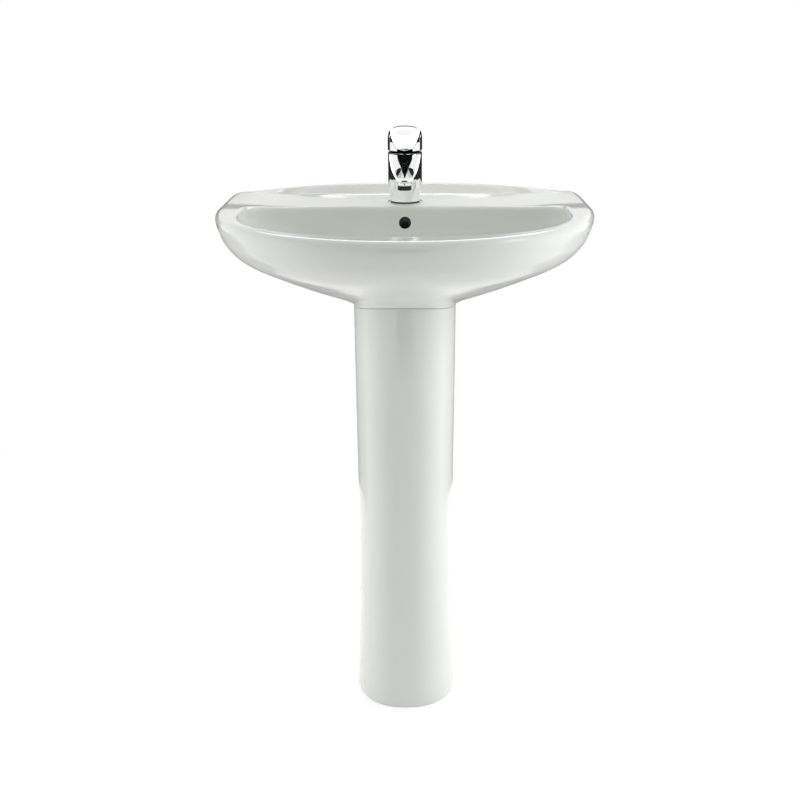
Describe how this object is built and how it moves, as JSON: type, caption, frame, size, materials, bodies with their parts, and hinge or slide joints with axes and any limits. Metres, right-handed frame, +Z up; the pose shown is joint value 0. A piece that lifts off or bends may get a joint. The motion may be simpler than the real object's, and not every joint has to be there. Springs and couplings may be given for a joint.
{
  "type": "pedestal sink",
  "caption": "Ceramic pedestal washbasin with an oval bowl, raised back ledge, single-lever mixer tap, push-open waste and bottle trap.",
  "frame": {"origin": "centre of the object's footprint on the floor, in line with the waste", "axes": "+Z up, +Y towards the wall, +X to the right as the user faces the basin"},
  "size_m": [0.604, 0.48, 0.9671],
  "materials": {
    "glaze": "gloss glaze",
    "chrome": "polished",
    "brass": "machined",
    "steel": "machined",
    "rubber": "matte",
    "white_plastic": "satin",
    "dark_plastic": "satin",
    "alumina": "lapped"
  },
  "bodies": {
    "sink": {"basin": "glaze", "pedestal": "glaze", "tap_body": "chrome", "cartridge_dome": "chrome", "aerator_housing": "chrome", "waste_body": "chrome", "trap_union_nut": "chrome", "trap_dip_tube": "chrome", "trap_bottle": "chrome", "trap_cup": "chrome", "outlet_nut": "chrome", "outlet_pipe": "chrome", "wall_rose": "chrome", "cartridge_nut": "brass", "tap_stud_nut": "brass", "waste_backnut": "brass", "plug_guide": "brass", "tap_horseshoe_bracket": "steel", "tap_stud": "steel", "plug_spring": "steel", "tap_base_seal": "rubber", "tap_rubber_washer": "rubber", "waste_gasket": "rubber", "trap_union_washer": "rubber", "trap_cup_seal": "rubber", "outlet_washer": "rubber", "cartridge_housing": "white_plastic", "aerator_insert": "dark_plastic", "fixed_ceramic_disc": "alumina"},
    "mixer_swivel": {"cartridge_carrier": "white_plastic", "stem_pivot_pin": "steel"},
    "mixer_lever": {"cartridge_stem": "steel", "lever_handle": "chrome", "lever_grub_screw": "steel", "lever_screw_cover": "dark_plastic"},
    "disc_slide": {"moving_ceramic_disc": "alumina"},
    "waste_plug": {"plug_cap": "chrome", "plug_seal": "rubber", "plug_stem": "brass"}
  },
  "joints": [
    {"name": "mixer_temperature", "type": "hinge", "parent": "sink", "child": "mixer_swivel", "pos_m": [0, 0.15, 0.9116], "axis": [0, 0, 1], "range_deg": [-45, 45]},
    {"name": "mixer_flow", "type": "hinge", "parent": "mixer_swivel", "child": "mixer_lever", "pos_m": [0, 0.15, 0.9116], "axis": [-1, 0, 0], "range_deg": [0, 25]},
    {"name": "disc_travel", "type": "slide", "parent": "mixer_swivel", "child": "disc_slide", "axis": [0, -1, 0], "range_m": [0, 0.004]},
    {"name": "plug_travel", "type": "slide", "parent": "sink", "child": "waste_plug", "axis": [0, 0, 1], "range_m": [0, 0.008], "deforming": ["plug_spring"]}
  ],
  "couplings": [
    {"joint": "disc_travel", "follows": "mixer_flow", "m_per_rad": 0.00893}
  ]
}
